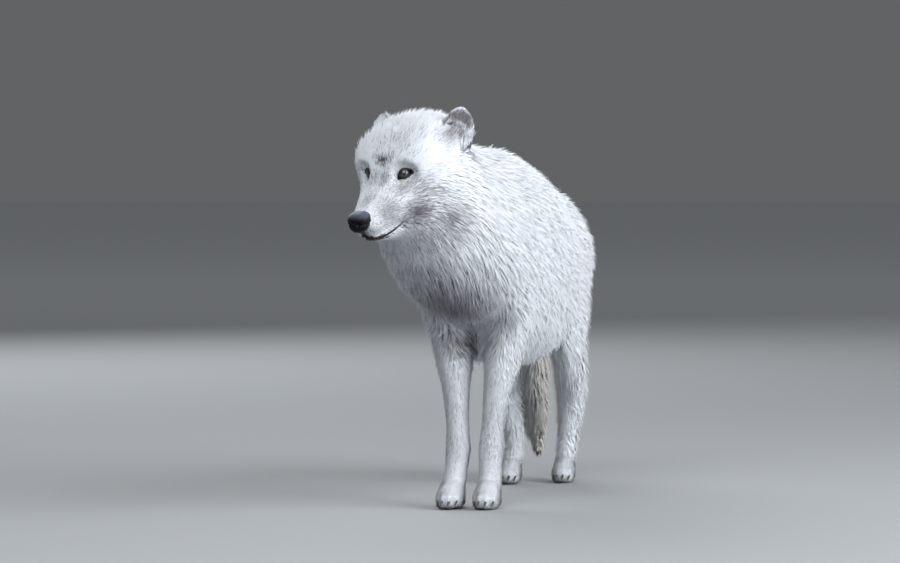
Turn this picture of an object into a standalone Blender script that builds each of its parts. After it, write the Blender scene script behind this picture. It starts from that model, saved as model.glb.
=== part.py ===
"""An arctic wolf that stands and looks to its right, as a still, life-size model.

The wolf faces -Y and stands on z = 0, with +X on its left side. All lengths are in metres.
The solids give the outline of the coat, out to its tips.

The flesh is modelled whole: closed tubes are laid through the named sections of the trunk, neck,
head, legs and tail, a voxel remesh makes them one surface, and strokes press in the folds of the
face. Thin cuts then part that surface into the pieces a person would name. Ears, eyes, nose pad
and claws are pieces of their own, trimmed to the flesh that carries them.
"""

import math

import bmesh
import bpy
import numpy as np
from mathutils import Matrix, Vector

# ---------------------------------------------------------------- driving dimensions

GAP = 0.0004  # left between two pieces that meet
VOXEL = 0.0045  # grid of the remesh that makes the flesh one surface
FLESH_TRIANGLES = 3050
SIDES = 44  # of each tube before the remesh

EYES_AT = Vector((-0.112, -0.565, 0.658))  # midway between the eyes
HEAD_TURN = math.radians(21)  # to the wolf's right
HEAD_NOD = math.radians(19)  # nose down
EYE_RADIUS = 0.0145

HEAD = (
    Matrix.Translation(EYES_AT)
    @ Matrix.Rotation(-HEAD_TURN, 4, "Z")
    @ Matrix.Rotation(HEAD_NOD, 4, "X")
)

# ---------------------------------------------------------------- sections of the body
# Each section is a place on the middle line of a tube, its half width across and its half depth.


def level(y, top, bottom, half_width, egg=0.0):
    """A section of the trunk or head, given by its heights above and below."""
    return (0, y, (top + bottom) / 2, half_width, (top - bottom) / 2, egg)


# A negative egg makes the section narrower above than below.
TRUNK = (
    level(-0.345, 0.600, 0.372, 0.108),  # breast
    level(-0.300, 0.680, 0.325, 0.125, -0.05),  # point of the shoulders
    level(-0.230, 0.716, 0.303, 0.130, -0.08),  # withers
    level(-0.110, 0.712, 0.282, 0.131, -0.06),  # girth
    level(0.020, 0.692, 0.267, 0.131, -0.05),  # ribs
    level(0.150, 0.668, 0.276, 0.122, -0.10),  # loin
    level(0.245, 0.655, 0.314, 0.113, -0.18),  # flank
    level(0.320, 0.644, 0.372, 0.112, -0.22),  # croup
    level(0.388, 0.613, 0.420, 0.092, -0.20),  # rump
    level(0.415, 0.575, 0.452, 0.066, -0.15),
)

NECK = (
    (0.000, -0.170, 0.520, 0.118, 0.170, -0.10),
    (-0.018, -0.270, 0.548, 0.128, 0.176, -0.16),
    (-0.042, -0.370, 0.580, 0.127, 0.169, -0.14),
    (-0.066, -0.445, 0.625, 0.116, 0.150, -0.06),
    (-0.086, -0.500, 0.645, 0.098, 0.118, -0.04),
)

FORELEG = (
    (0.070, -0.190, 0.560, 0.048, 0.085, 0),  # shoulder blade
    (0.074, -0.262, 0.450, 0.051, 0.080, 0),  # point of the shoulder
    (0.062, -0.238, 0.365, 0.048, 0.060, 0),  # elbow
    (0.051, -0.252, 0.300, 0.040, 0.046, 0),
    (0.041, -0.270, 0.225, 0.0280, 0.033, 0),  # forearm
    (0.035, -0.280, 0.155, 0.0240, 0.027, 0),
    (0.033, -0.284, 0.118, 0.0258, 0.030, 0),  # carpus
    (0.034, -0.294, 0.080, 0.0235, 0.026, 0),  # pastern
    (0.0365, -0.308, 0.045, 0.0245, 0.029, 0),
)

HINDLEG = (
    (0.052, 0.300, 0.510, 0.052, 0.105, 0),  # hip
    (0.060, 0.286, 0.425, 0.050, 0.111, 0),  # thigh
    (0.066, 0.268, 0.345, 0.044, 0.092, 0),  # stifle
    (0.064, 0.300, 0.275, 0.036, 0.063, 0),
    (0.058, 0.343, 0.220, 0.037, 0.050, 0),
    (0.054, 0.362, 0.178, 0.032, 0.043, 0),  # hock
    (0.049, 0.361, 0.125, 0.0265, 0.033, 0),  # metatarsus
    (0.046, 0.351, 0.080, 0.0210, 0.026, 0),
    (0.047, 0.338, 0.048, 0.0220, 0.026, 0),
)

TAIL = (
    (0.000, 0.372, 0.580, 0.034, 0.036, 0),
    (-0.008, 0.440, 0.512, 0.040, 0.042, 0),
    (-0.028, 0.468, 0.415, 0.043, 0.046, 0),
    (-0.053, 0.466, 0.300, 0.043, 0.046, 0),
    (-0.057, 0.459, 0.205, 0.041, 0.043, 0),
    (-0.045, 0.451, 0.125, 0.034, 0.036, 0),
    (-0.037, 0.446, 0.075, 0.015, 0.017, 0),
)

# Sections of the head lie in its own frame, with the eyes at the origin and the nose towards -Y.
SKULL = (
    level(-0.026, -0.002, -0.050, 0.030),  # between the eyes
    level(-0.006, 0.016, -0.060, 0.046),
    level(0.014, 0.038, -0.072, 0.072),  # forehead
    level(0.038, 0.062, -0.082, 0.094),  # temples
    level(0.064, 0.080, -0.090, 0.102),
    level(0.090, 0.088, -0.097, 0.100),  # crown
    level(0.122, 0.092, -0.103, 0.091),
    level(0.152, 0.087, -0.106, 0.080),  # nape
)

MUZZLE = (
    level(-0.091, -0.030, -0.083, 0.0260),  # behind the nose
    level(-0.069, -0.021, -0.084, 0.0340),
    level(-0.045, -0.011, -0.087, 0.0440),
    level(-0.018, -0.001, -0.091, 0.0570),
    level(0.012, 0.008, -0.101, 0.0800),  # cheekbones
    level(0.045, 0.016, -0.112, 0.1020),
    level(0.080, 0.020, -0.120, 0.1060),
)

JAW = (
    level(-0.090, -0.074, -0.0940, 0.0190),  # chin
    level(-0.058, -0.072, -0.1050, 0.0270),
    level(-0.020, -0.066, -0.1160, 0.0400),
    level(0.030, -0.060, -0.1240, 0.0540),
    level(0.075, -0.050, -0.1280, 0.0640),  # angle of the jaw
)

# ---------------------------------------------------------------- tubes


def flowing(rows, steps):
    """The rows, with steps - 1 more between each two, on smooth curves through them."""
    rows = np.array(rows, float)
    along = np.r_[0, np.cumsum(np.linalg.norm(np.diff(rows[:, :3], axis=0), axis=1))]
    slope = np.gradient(rows, along, axis=0)
    out = []
    for i in range(len(rows) - 1):
        gap = along[i + 1] - along[i]
        for t in np.arange(steps) / steps:
            out.append(
                (1 + 2 * t) * (1 - t) ** 2 * rows[i]
                + t * (1 - t) ** 2 * gap * slope[i]
                + t * t * (3 - 2 * t) * rows[i + 1]
                - t * t * (1 - t) * gap * slope[i + 1]
            )
    return np.array(out + [rows[-1]])


def domed(rows, rings=4):
    """The rows with a rounded end added at both sides, as deep as the end is narrow."""
    out = list(rows)
    for end, inner, step in ((0, 1, 0), (-1, -2, None)):
        last = rows[end]
        way = last[:3] - rows[inner][:3]
        way /= np.linalg.norm(way)
        reach = 0.8 * min(last[3], last[4])
        for k in range(1, rings + 1):
            angle = math.pi / 2 * k / (rings + 0.4)
            ring = last.copy()
            ring[:3] += way * reach * math.sin(angle)
            ring[3:5] *= math.cos(angle)
            out.insert(0 if step == 0 else len(out), ring)
    return np.array(out)


def tube(sections, place=None, square=2.0, steps=7, sides=SIDES, rings=4):
    """A closed tube through the sections. A square above 2 makes them boxy."""
    rows = domed(flowing(sections, steps), rings)
    ways = np.gradient(rows[:, :3], axis=0)
    bm = bmesh.new()
    before = None
    for row, way in zip(rows, ways):
        way = Vector(way).normalized()
        across = (Vector((1, 0, 0)) - way * way.x).normalized()
        above = across.cross(way)
        if above.z < 0 or (abs(way.z) > 0.7 and above.y > 0):
            above = -above
        ring = bmesh.ops.create_circle(bm, segments=sides, radius=1)["verts"]
        for v in ring:
            wide, tall = (math.copysign(abs(c) ** (2 / square), c) for c in v.co.xy)
            wide *= row[3] * (1 + row[5] * tall)
            v.co = Vector(row[:3]) + across * wide + above * tall * row[4]
        edges = list({e for v in ring for e in v.link_edges})
        if before is None:
            bmesh.ops.edgeloop_fill(bm, edges=edges)
        else:
            bmesh.ops.bridge_loops(bm, edges=before + edges)
        before = edges
    bmesh.ops.edgeloop_fill(bm, edges=before)
    bmesh.ops.recalc_face_normals(bm, faces=bm.faces)
    if place:
        bm.transform(place)
    return bm


def ball(centre, radii, place=None, turn=None):
    """An ellipsoid, turned about its own centre and then placed."""
    bm = bmesh.new()
    bmesh.ops.create_icosphere(bm, subdivisions=3, radius=1)
    bm.transform(Matrix.Diagonal((*radii, 1)))
    if turn:
        bm.transform(turn)
    bm.transform(Matrix.Translation(centre))
    if place:
        bm.transform(place)
    return bm


def shifted(sections, left, moves, bow=0.0):
    """A leg's sections on one side, its lower ones moved to where that foot stands. The bow sets
    the hock out."""
    side = 1 if left else -1
    rows = np.array(sections, float)
    low = 1 - (rows[:, 2] - rows[:, 2].min()) / np.ptp(rows[:, 2])
    rows[:, 0] += bow * np.exp(-(((rows[:, 2] - 0.19) / 0.07) ** 2))
    rows[:, 0] *= side
    rows[:, 0] += moves[0] * low
    rows[:, 1] += moves[1] * low
    return rows


# ---------------------------------------------------------------- paws

TOES = ((-0.0190, -0.006), (-0.0070, -0.022), (0.0070, -0.022), (0.0190, -0.006))
FORE_FEET = {"left": (-0.002, 0.004), "right": (-0.002, -0.004)}  # where each foot stands
HIND_FEET = {"left": (0.002, 0.000), "right": (-0.008, -0.060)}
HOCK_OUT = {"left": 0.0, "right": 0.020}
FORE_PAW = 1.0
HIND_PAW = 0.9


def leg_rows(side):
    left = side == "left"
    fore = shifted(FORELEG, left, FORE_FEET[side])
    hind = shifted(HINDLEG, left, HIND_FEET[side], HOCK_OUT[side])
    return {"fore": fore, "hind": hind}


def toes(ankle, size):
    """The middle of each toe of the paw below this ankle."""
    x, y = ankle
    return [(x + across * size, y + (ahead - 0.024) * size, 0.019) for across, ahead in TOES]


def paw(ankle, size):
    """The shapes of one paw: its back, its pad and four toes. Size is a share of a forepaw."""
    x, y = ankle
    shapes = [
        ball((x, y - 0.012 * size, 0.034), (0.0280 * size, 0.038 * size, 0.026)),
        ball((x, y - 0.006 * size, 0.015), (0.0270 * size, 0.034 * size, 0.018)),
    ]
    for toe in toes(ankle, size):
        shapes.append(ball(toe, (0.0098 * size, 0.026 * size, 0.0205)))
    return shapes


# ---------------------------------------------------------------- flesh as one surface


def object_of(name, bm):
    mesh = bpy.data.meshes.new(name)
    bm.to_mesh(mesh)
    bm.free()
    obj = bpy.data.objects.new(name, mesh)
    bpy.context.scene.collection.objects.link(obj)
    return obj


def settled(obj):
    """Applies the object's modifiers to its mesh."""
    graph = bpy.context.evaluated_depsgraph_get()
    mesh = bpy.data.meshes.new_from_object(obj.evaluated_get(graph))
    obj.modifiers.clear()
    obj.data = mesh
    return obj


def head_shapes():
    shapes = [tube(SKULL, HEAD, square=3.0), tube(MUZZLE, HEAD, square=2.4), tube(JAW, HEAD)]
    for side in (-1, 1):
        for centre, radii in (
            ((0.062, 0.102, -0.050), (0.054, 0.080, 0.080)),  # ruff behind the cheek
            ((0.036, 0.020, 0.022), (0.024, 0.026, 0.014)),  # brow
            ((0.0165, -0.076, -0.061), (0.0155, 0.029, 0.0205)),  # upper lip
            ((0.060, 0.168, 0.022), (0.034, 0.030, 0.036)),  # back of the ear's foot
        ):
            shapes.append(ball((side * centre[0], *centre[1:]), radii, HEAD))
    return shapes


def flesh_shapes():
    shapes = [tube(TRUNK), tube(NECK), tube(TAIL)]
    for side in ("left", "right"):
        for end, size in (("fore", FORE_PAW), ("hind", HIND_PAW)):
            rows = leg_rows(side)[end]
            shapes += [tube(rows), *paw(rows[-1][:2], size)]
    return shapes + head_shapes()


def whole_flesh():
    bm = bmesh.new()
    for shape in flesh_shapes():
        mesh = bpy.data.meshes.new("shape")
        shape.to_mesh(mesh)
        bm.from_mesh(mesh)
        shape.free()
    flesh = object_of("flesh", bm)
    remesh = flesh.modifiers.new("one surface", "REMESH")
    remesh.mode = "VOXEL"
    remesh.voxel_size = VOXEL
    settled(flesh)
    body = flesh.vertex_groups.new(name="body")
    to_head = HEAD.inverted()
    for v in flesh.data.vertices:
        behind = (to_head @ v.co).y  # the nape, less towards the nose
        share = min(1, max(0.12, (v.co.z - 0.12) / 0.2))
        share *= min(1, max(0.22, (behind + 0.02) / 0.15))
        body.add([v.index], share, "REPLACE")
    smooth = flesh.modifiers.new("blend", "SMOOTH")
    smooth.iterations = 50
    smooth.vertex_group = "body"
    return settled(flesh)


# ---------------------------------------------------------------- strokes on the face

EYE_LOOK = Vector((0.55, -0.82, 0.12)).normalized()
EYE_CORNEA = Vector((0.0445, 0.004, 0.0085))


def eye_centre(side):
    centre = EYE_CORNEA - EYE_LOOK * EYE_RADIUS
    return Vector((side * centre.x, centre.y, centre.z))


def eye_look(side):
    return Vector((side * EYE_LOOK.x, EYE_LOOK.y, EYE_LOOK.z))


def press_face(flesh):
    """Sets the flesh round each eye and draws a shallow dip between the brows."""
    to_head = HEAD.inverted()
    for v in flesh.data.vertices:
        p = to_head @ v.co
        if p.y > 0.09 or p.length > 0.16:
            continue
        for side in (-1, 1):
            out = p - eye_centre(side)
            ahead = out.dot(eye_look(side))
            off = (out - eye_look(side) * ahead).length
            if ahead > 0 and off < 0.031:
                fade = min(1, max(0, (0.031 - off) / 0.020))
                fade = fade * fade * (3 - 2 * fade)
                wanted = EYE_RADIUS - 0.0040 - 0.06 * off
                p += eye_look(side) * (wanted - ahead) * fade
        dip = math.exp(-((p.x / 0.012) ** 2) - ((p.y + 0.012) / 0.022) ** 2)
        p.z -= 0.003 * dip * (p.z > -0.02)
        v.co = HEAD @ p
    flesh.data.update()


# ---------------------------------------------------------------- pieces set in the flesh


def sphere(radius, centre, rings=12):
    bm = bmesh.new()
    bmesh.ops.create_uvsphere(bm, u_segments=2 * rings, v_segments=rings, radius=radius)
    bm.transform(Matrix.Translation(centre))
    bm.transform(HEAD)
    return bm


def nose_pad(grow=0.0):
    """The nose: a rounded block, wider above, that stands out in front of the muzzle."""
    bm = bmesh.new()
    bmesh.ops.create_uvsphere(bm, u_segments=14, v_segments=8, radius=1)
    bm.transform(Matrix.Rotation(math.radians(90), 4, "X"))
    for v in bm.verts:
        x, y, z = (math.copysign(abs(c) ** 0.8, c) for c in v.co)
        wide = (0.0214 + grow) * (1 + 0.18 * z)
        v.co = (x * wide, y * (0.0210 + grow), z * (0.0196 + grow))
        v.co.y += 0.12 * v.co.z
    bm.transform(Matrix.Translation((0, -0.1050, -0.0502)))
    bm.transform(HEAD)
    return bm


EAR_SUNK = 0.016  # of its height is inside the head
EAR_HALF_WIDTH = 0.0355
# Where each ear's foot is, the way it points, the way its opening looks and how far it stands
# out. The left ear is turned outward, the right one looks ahead and leans lower.
EARS = {
    1: ((0.086, 0.1335, 0.0290), (0.15, 0.38, 0.91), (0.80, -0.60, 0), 0.0690),
    -1: ((0.080, 0.1280, 0.0300), (0.10, 0.34, 0.93), (0.08, -0.99, 0), 0.0570),
}


def ear(side, grow=0.0):
    """A cupped leaf with a rounded tip. It is thickest along its middle."""
    foot, up, faces, tall = EARS[side]
    foot, up, faces = Vector(foot), Vector(up).normalized(), Vector(faces)
    faces = (faces - up * faces.dot(up)).normalized()
    across = up.cross(faces)  # from the ear's inner edge towards its outer edge
    rows, cols = 8, 6
    bm = bmesh.new()
    sheets = []
    for skin in (1, -1):
        sheet = []
        for i in range(rows):
            t = i / (rows - 1)
            high = -EAR_SUNK + (tall + EAR_SUNK + grow) * math.sin(t * math.pi / 2)
            k = max(0, high) / (tall + grow)
            half = (EAR_HALF_WIDTH + grow) * math.sqrt(max(0.02, 1 - k**2.3))
            line = []
            for j in range(cols + 1):
                s = -1 + 2 * j / cols
                cup = 0.40 * half * (1 - s * s)
                thick = (0.0022 + grow) + 0.0024 * (1 - s * s) * (1 - 0.5 * k)
                p = foot + up * high + across * s * half - faces * cup
                p += faces * skin * thick
                line.append(bm.verts.new((side * p.x, p.y, p.z)))
            sheet.append(line)
        sheets.append(sheet)
    front, rear = sheets
    for sheet in sheets:
        for a, b in zip(sheet, sheet[1:]):
            for j in range(cols):
                bm.faces.new((a[j], a[j + 1], b[j + 1], b[j]))
    for i in range(rows - 1):
        for j in (0, cols):
            bm.faces.new((front[i][j], front[i + 1][j], rear[i + 1][j], rear[i][j]))
    for i in (0, rows - 1):
        for j in range(cols):
            bm.faces.new((front[i][j], front[i][j + 1], rear[i][j + 1], rear[i][j]))
    bmesh.ops.recalc_face_normals(bm, faces=bm.faces)
    bm.transform(HEAD)
    return bm


def claw(toe, size, grow=0.0):
    """A short hooked cone at the front of a toe, pointing forward and down."""
    x, y, z = toe
    rows = (
        (x, y - 0.012 * size, 0.0205, 0.0027 + grow, 0.0036 + grow, 0),
        (x, y - 0.025 * size, 0.0155, 0.0026 + grow, 0.0033 + grow, 0),
        (x, y - 0.0345 * size, 0.0055, 0.0008 + grow, 0.0010 + grow, 0),
    )
    return tube(rows, steps=1, sides=5, rings=1)


# ---------------------------------------------------------------- cutting


def cut(target, *shapes):
    """Takes each shape away from the target."""
    for shape in shapes:
        tool = object_of("cutter", shape)
        modifier = target.modifiers.new("cut", "BOOLEAN")
        modifier.solver = "EXACT"
        modifier.object = tool
        settled(target)
        bpy.data.objects.remove(tool)
    return target


def plate(centre, way, half=(0.5, 0.5)):
    """A sheet as thin as the gap, square to the way. Its first side lies across the wolf."""
    way = Vector(way).normalized()
    across = (Vector((1, 0, 0)) - way * way.x).normalized()
    turn = Matrix((across, way.cross(across), way)).transposed().to_4x4()
    bm = bmesh.new()
    bmesh.ops.create_cube(bm, size=2)
    bm.transform(Matrix.Diagonal((half[0], half[1], GAP / 2, 1)))
    bm.transform(Matrix.Translation(centre) @ turn)
    return bm


def head_plate(centre, way, half):
    bm = plate(centre, way, half)
    bm.transform(HEAD)
    return bm


LIMBS = {  # the cuts across a leg: height, half the plate's side
    "fore": (("forearm", 0.285), ("pastern", 0.128), ("paw", 0.062)),
    "hind": (("shank", 0.255), ("hock", 0.165), ("paw", 0.062)),
}


def on_leg(rows, height):
    """The leg's middle line at a height."""
    rows = flowing(rows, 8)
    i = int(np.argmin(np.abs(rows[:, 2] - height)))
    return Vector(rows[i][:3]), rows[i]


def thin_cuts():
    nape = HEAD @ Vector((0, 0.165, 0))
    cuts = {
        "head": plate(nape, (-0.30, -0.92, 0.22)),
        "neck": plate((0, -0.265, 0.60), (-0.10, -0.84, 0.53)),
        "chest": plate((0, 0.015, 0.45), (0, 1, 0.12)),
        "belly": plate((0, 0.205, 0.45), (0, 1, -0.20)),
        "tail": plate((0, 0.435, 0.515), (0, 0.98, -0.18), (0.12, 0.165)),
        "mouth": head_plate((0, -0.087, -0.0845), (0, 0.117, -1), (0.08, 0.0625)),
        "chin": head_plate((0, -0.025, -0.125), (0, 1, 0.25), (0.08, 0.0485)),
    }
    for side in ("left", "right"):
        s = 1 if side == "left" else -1
        arm = (s * 0.085, -0.26, 0.358), (-0.62 * s, 0.42, 1)
        thigh = (s * 0.085, 0.27, 0.335), (-0.62 * s, -0.75, 1)
        cuts[side + " arm"] = plate(*arm, (0.118, 0.145))
        cuts[side + " thigh"] = plate(*thigh, (0.118, 0.19))
        for end, places in LIMBS.items():
            for name, height in places:
                middle, row = on_leg(leg_rows(side)[end], height)
                way = (0, -0.25, 1) if name == "shank" else (0, 0, 1)
                reach = (max(0.0335, row[3] * 1.25), max(0.06, row[4] * 2.1))
                cuts[f"{side} {end} {name}"] = plate(middle, way, reach)
    return cuts


# ---------------------------------------------------------------- materials and nodes


def material(name, colour, roughness):
    mat = bpy.data.materials.new(name)
    mat.use_nodes = True
    shader = mat.node_tree.nodes["Principled BSDF"]
    shader.inputs["Base Color"].default_value = (*colour, 1)
    shader.inputs["Roughness"].default_value = roughness
    return mat


COAT = material("coat", (0.86, 0.87, 0.90), 0.9)
DARK = material("bare black skin", (0.03, 0.03, 0.035), 0.4)
HORN = material("horn", (0.07, 0.06, 0.055), 0.5)
EYE = material("eye", (0.03, 0.02, 0.015), 0.1)


def own_material(name, base):
    mat = base.copy()
    mat.name = name
    return mat


def finish(obj, name, base):
    obj.name = name
    obj.data.name = name
    obj.vertex_groups.clear()
    obj.data.materials.clear()
    obj.data.materials.append(own_material(name, base))
    bm = bmesh.new()
    bm.from_mesh(obj.data)
    bmesh.ops.triangulate(bm, faces=bm.faces)
    bmesh.ops.remove_doubles(bm, verts=bm.verts, dist=0.00002)
    bmesh.ops.dissolve_degenerate(bm, edges=bm.edges, dist=0.00002)
    bmesh.ops.triangulate(bm, faces=bm.faces)
    bm.to_mesh(obj.data)
    bm.free()
    return obj


def thinned(flesh):
    """Fewer triangles, the most of them kept on the head and paws."""
    fine = flesh.vertex_groups.new(name="fine")
    to_head = HEAD.inverted()
    for v in flesh.data.vertices:
        p = to_head @ v.co
        face = min(1, max(0, (0.09 - p.y) / 0.06)) * (p.length < 0.17)
        foot = min(1, max(0, (0.075 - v.co.z) / 0.02))
        fine.add([v.index], 1 - 0.40 * face - 0.22 * foot * (1 - face), "REPLACE")
    fewer = flesh.modifiers.new("fewer", "DECIMATE")
    flesh.data.calc_loop_triangles()
    fewer.ratio = FLESH_TRIANGLES / len(flesh.data.loop_triangles)
    fewer.vertex_group = "fine"
    fewer.vertex_group_factor = 0.08
    fewer.use_collapse_triangulate = True
    return settled(flesh)


def islands(flesh):
    """The loose pieces of the flesh, each its own object, largest first."""
    bm = bmesh.new()
    bm.from_mesh(flesh.data)
    left = set(bm.verts)
    pieces = []
    while left:
        stack, piece = [left.pop()], set()
        while stack:
            v = stack.pop()
            piece.add(v)
            for e in v.link_edges:
                other = e.other_vert(v)
                if other in left:
                    left.discard(other)
                    stack.append(other)
        pieces.append(piece)
    out = []
    for piece in sorted(pieces, key=len, reverse=True):
        one = bmesh.new()
        made = {v: one.verts.new(v.co) for v in piece}
        for f in {f for v in piece for f in v.link_faces}:
            one.faces.new([made[v] for v in f.verts])
        one.normal_update()
        if abs(one.calc_volume()) > 1e-7:
            out.append(object_of("piece", one))
        else:
            print("a crumb of", len(piece), "points left out")
            one.free()
    bm.free()
    return out


def anchors():
    """A point near the middle of each piece of flesh."""
    places = {
        "head": HEAD @ Vector((0, 0.06, 0)),
        "lower_jaw": HEAD @ Vector((0, -0.060, -0.095)),
        "neck": Vector((-0.04, -0.36, 0.58)),
        "chest": Vector((0, -0.11, 0.50)),
        "belly": Vector((0, 0.12, 0.46)),
        "rump": Vector((0, 0.32, 0.49)),
        "tail": Vector((-0.04, 0.46, 0.31)),
    }
    for side in ("left", "right"):
        rows = leg_rows(side)
        for name, end, height in (
            ("upper_foreleg", "fore", 0.330),
            ("forearm", "fore", 0.225),
            ("fore_pastern", "fore", 0.095),
            ("forepaw", "fore", 0.031),
            ("thigh", "hind", 0.310),
            ("shank", "hind", 0.210),
            ("hock", "hind", 0.110),
            ("hind_paw", "hind", 0.031),
        ):
            middle = on_leg(rows[end], height)[0]
            ahead = 0.02 if "paw" in name else 0
            places[f"{side}_{name}"] = Vector((middle.x, middle.y - ahead, height))
    return places


for old in list(bpy.data.objects):
    bpy.data.objects.remove(old)

flesh = whole_flesh()
press_face(flesh)
thinned(flesh)
floor = plate((0, 0, -0.05), (0, 0, 1), (1, 1))
for v in floor.verts:
    if v.co.z > -0.05:
        v.co.z = 0.0
cut(flesh, floor)

# the head is opened for the parts set in it while the flesh is still whole
for side in (-1, 1):
    cut(flesh, ear(side, GAP), sphere(EYE_RADIUS + 0.001, eye_centre(side), 8))
cut(flesh, nose_pad(GAP))
for side in ("left", "right"):
    for end, size in (("fore", FORE_PAW), ("hind", HIND_PAW)):
        for toe in toes(leg_rows(side)[end][-1][:2], size):
            cut(flesh, claw(toe, size, GAP))
for name, sheet in thin_cuts().items():
    cut(flesh, sheet)

pieces = islands(flesh)
print(len(pieces), "pieces of flesh")
nodes = []


def middle_of(piece):
    corners = np.array([v.co for v in piece.data.vertices])
    return Vector((corners.min(0) + corners.max(0)) / 2)


wanted = anchors()
while wanted and pieces:  # the closest pair of a name and a piece goes first
    places = [(middle_of(piece), piece) for piece in pieces]
    pairs = ((( m - at).length, name, piece) for name, at in wanted.items() for m, piece in places)
    off, name, piece = min(pairs, key=lambda pair: pair[0])
    pieces.remove(piece)
    wanted.pop(name)
    nodes.append(finish(piece, name, COAT))
bpy.data.objects.remove(flesh)
for piece in pieces:
    print("unnamed:", len(piece.data.vertices), tuple(middle_of(piece)))

for side, name in ((1, "left"), (-1, "right")):
    nodes.append(finish(object_of("ear", ear(side)), name + "_ear", COAT))
    nodes.append(finish(object_of("eye", sphere(EYE_RADIUS, eye_centre(side), 8)), name + "_eye", EYE))
    for end, size in (("fore", FORE_PAW), ("hind", HIND_PAW)):
        for number, toe in enumerate(toes(leg_rows(name)[end][-1][:2], size), 1):
            made = object_of("claw", claw(toe, size))
            nodes.append(finish(made, f"{name}_{end}_claw_{number}", HORN))
nodes.append(finish(object_of("nose", nose_pad()), "nose", DARK))

low = np.min([v.co for node in nodes for v in node.data.vertices], axis=0)
high = np.max([v.co for node in nodes for v in node.data.vertices], axis=0)
centre = Vector((-(low[0] + high[0]) / 2, -(low[1] + high[1]) / 2, 0))
print("moved by", tuple(centre), "to stand over the middle of its box")
total = 0
for node in nodes:
    node.data.transform(Matrix.Translation(centre))
    count = len(node.data.polygons)
    total += count
    print(f"{node.name:24s} {count:5d} triangles")
print(total, "triangles in", len(nodes), "nodes")
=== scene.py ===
# %% [markdown]
# # An arctic wolf in its winter coat
#
# This lesson dresses a plain carved wolf, life-size, as a museum would show it. The carved solids
# already give the pose and the outline, out to the tips of the coat. What is missing is what makes
# it a wolf: one continuous skin, thick white fur, dark eyes, a wet black nose and dark claws.

# %% The carved frame
import math

import bmesh
import bpy
import numpy as np
from mathutils import Matrix, Vector, kdtree
from mathutils.bvhtree import BVHTree


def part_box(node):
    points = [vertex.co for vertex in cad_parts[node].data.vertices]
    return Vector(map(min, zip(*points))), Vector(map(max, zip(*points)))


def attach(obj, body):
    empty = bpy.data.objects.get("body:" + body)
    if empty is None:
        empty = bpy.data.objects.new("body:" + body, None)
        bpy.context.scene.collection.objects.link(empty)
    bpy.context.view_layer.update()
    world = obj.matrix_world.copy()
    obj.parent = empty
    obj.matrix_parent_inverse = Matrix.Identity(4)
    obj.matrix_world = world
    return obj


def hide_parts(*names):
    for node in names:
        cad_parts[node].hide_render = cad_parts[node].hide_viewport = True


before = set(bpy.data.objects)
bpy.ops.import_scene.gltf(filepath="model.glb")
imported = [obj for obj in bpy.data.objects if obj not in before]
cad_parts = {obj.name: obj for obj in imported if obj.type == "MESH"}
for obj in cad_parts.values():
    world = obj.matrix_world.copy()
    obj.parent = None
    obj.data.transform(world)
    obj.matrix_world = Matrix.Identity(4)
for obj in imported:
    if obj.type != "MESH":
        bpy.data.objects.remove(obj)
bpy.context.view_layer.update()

# %% [markdown]
# ## A frame for the head
#
# The head is turned to the wolf's right and nods a little, so everything on the face is easier to
# place in the head's own frame: x to the wolf's left, y back, z up, with the eyes near the origin.
# The two eyeballs tell where that frame is, because the turn and the nod are known.

# %% Head frame
EYE_RADIUS = 0.0145
EYE_LOOK = Vector((0.55, -0.82, 0.12)).normalized()  # of the left eye, in the head's frame
EYE_MIDDLE = Vector((0.0445, 0.004, 0.0085)) - EYE_LOOK * EYE_RADIUS


def middle(node):
    low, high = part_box(node)
    return (low + high) / 2


between_eyes = (middle("left_eye") + middle("right_eye")) / 2
HEAD_TURN = (
    Matrix.Rotation(math.radians(-21), 4, "Z") @ Matrix.Rotation(math.radians(19), 4, "X")
)
HEAD = (
    Matrix.Translation(between_eyes)
    @ HEAD_TURN
    @ Matrix.Translation((0, -EYE_MIDDLE.y, -EYE_MIDDLE.z))
)
print("the eyes meet at", [round(c, 3) for c in HEAD.translation])


def in_head(points):
    """World points in the head's frame, as rows of an array."""
    back = np.array(HEAD.inverted())
    return np.asarray(points) @ back[:3, :3].T + back[:3, 3]


def from_head(points):
    there = np.array(HEAD)
    return np.asarray(points) @ there[:3, :3].T + there[:3, 3]


def turned_from_head(directions):
    return np.asarray(directions) @ np.array(HEAD_TURN)[:3, :3].T


# %% Small helpers
def mirror_right(points):
    """Head places with the right side laid over the left."""
    flip = np.where(points[:, 0] < 0, -1.0, 1.0)
    return points * np.stack((flip, *np.ones((2, len(points)))), -1)


def ramp(x, start, end):
    """0 before start, 1 after end, with a soft rise between. It works on arrays."""
    t = np.clip((np.asarray(x, float) - start) / (end - start), 0, 1)
    return t * t * (3 - 2 * t)


def soft_spot(points, centre, reach):
    """1 at the centre, falling to nearly 0 at twice the reach."""
    return np.exp(-((((points - np.array(centre)) / np.array(reach)) ** 2).sum(1)))


def unit(rows):
    return rows / np.maximum(np.linalg.norm(rows, axis=-1, keepdims=True), 1e-9)


def dot(a, b):
    return (a * b).sum(-1, keepdims=True)


def numbers(items, what, kind, width):
    """One property of all the items of a mesh, as an array."""
    out = np.empty(len(items) * width, kind)
    items.foreach_get(what, out)
    return out.reshape(-1, width) if width > 1 else out


def show(name, data):
    piece = bpy.data.objects.new(name, data)
    bpy.context.scene.collection.objects.link(piece)
    return piece


def mesh_of(name, bm, smooth=True):
    """Ends a bmesh as a mesh of this name."""
    mesh = bpy.data.meshes.new(name)
    bm.to_mesh(mesh)
    bm.free()
    if smooth:
        mesh.polygons.foreach_set("use_smooth", np.ones(len(mesh.polygons), bool))
    return mesh


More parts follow.
